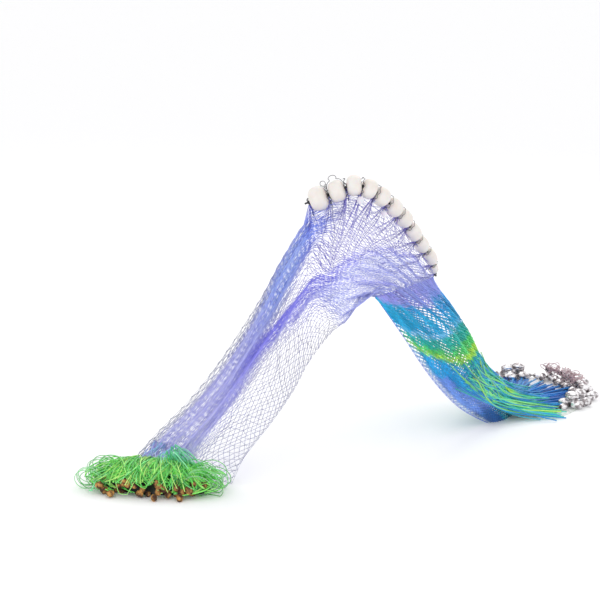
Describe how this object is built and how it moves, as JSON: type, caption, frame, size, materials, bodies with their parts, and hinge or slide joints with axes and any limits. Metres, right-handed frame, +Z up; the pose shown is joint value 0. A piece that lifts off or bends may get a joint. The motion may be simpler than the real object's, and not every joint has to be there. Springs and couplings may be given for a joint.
{
  "type": "gill net",
  "caption": "Bundle of lilac and blue-green gill netting standing as an arch, with drum floats on its float line, a tangled green foot and a weighted foot of fringed twine and sinkers.",
  "frame": {"origin": "middle of the whole net's plan, on the floor it stands on", "axes": "+X from the green tangled foot towards the weighted foot, along the arch's longest extent; +Z up; +Y away from the side where the far edge of the netting hangs open"},
  "size_m": [1.4324, 0.3774, 0.6228],
  "materials": {
    "clay": "fired clay, matt",
    "braided_line": "dark braided line",
    "float_foam": "off-white closed-cell foam, satin",
    "spindle_foam": "pale lilac foam",
    "tarred_twine": "black tarred twine",
    "polished_lead": "polished grey metal",
    "blue_twine": "royal blue twine",
    "green_twine": "sea green twine",
    "green_netting": "bright green bundled netting",
    "banded_netting": "netting dyed in bands of blue, teal and yellow-green",
    "lilac_netting": "lilac and violet-blue netting"
  },
  "bodies": {
    "root": {"clay_sinker_01": "clay", "clay_sinker_02": "clay", "clay_sinker_03": "clay", "clay_sinker_04": "clay", "clay_sinker_05": "clay", "clay_sinker_06": "clay", "clay_sinker_07": "clay", "clay_sinker_08": "clay", "float_01": "float_foam", "float_02": "float_foam", "float_03": "float_foam", "float_04": "float_foam", "float_05": "float_foam", "float_06": "float_foam", "float_07": "float_foam", "float_08": "float_foam", "float_09": "float_foam", "float_10": "float_foam", "float_11": "float_foam", "float_line": "braided_line", "fringe_blue": "blue_twine", "fringe_green": "green_twine", "lashing_01": "tarred_twine", "lashing_02": "tarred_twine", "lashing_03": "tarred_twine", "lashing_04": "tarred_twine", "lashing_05": "tarred_twine", "lashing_06": "tarred_twine", "lashing_07": "tarred_twine", "lashing_08": "tarred_twine", "lashing_09": "tarred_twine", "lashing_10": "tarred_twine", "lashing_11": "tarred_twine", "lashing_12": "tarred_twine", "lead_01": "polished_lead", "lead_02": "polished_lead", "lead_03": "polished_lead", "lead_04": "polished_lead", "lead_05": "polished_lead", "lead_06": "polished_lead", "lead_07": "polished_lead", "lead_08": "polished_lead", "lead_09": "polished_lead", "lead_10": "polished_lead", "lead_11": "polished_lead", "lead_12": "polished_lead", "lead_13": "polished_lead", "lead_line": "braided_line", "loop_short": "tarred_twine", "loop_tall": "tarred_twine", "netting_banded": "banded_netting", "netting_lilac": "lilac_netting", "spindle_float_1": "spindle_foam", "spindle_float_2": "spindle_foam", "tangle_green": "green_netting"}
  },
  "joints": []
}
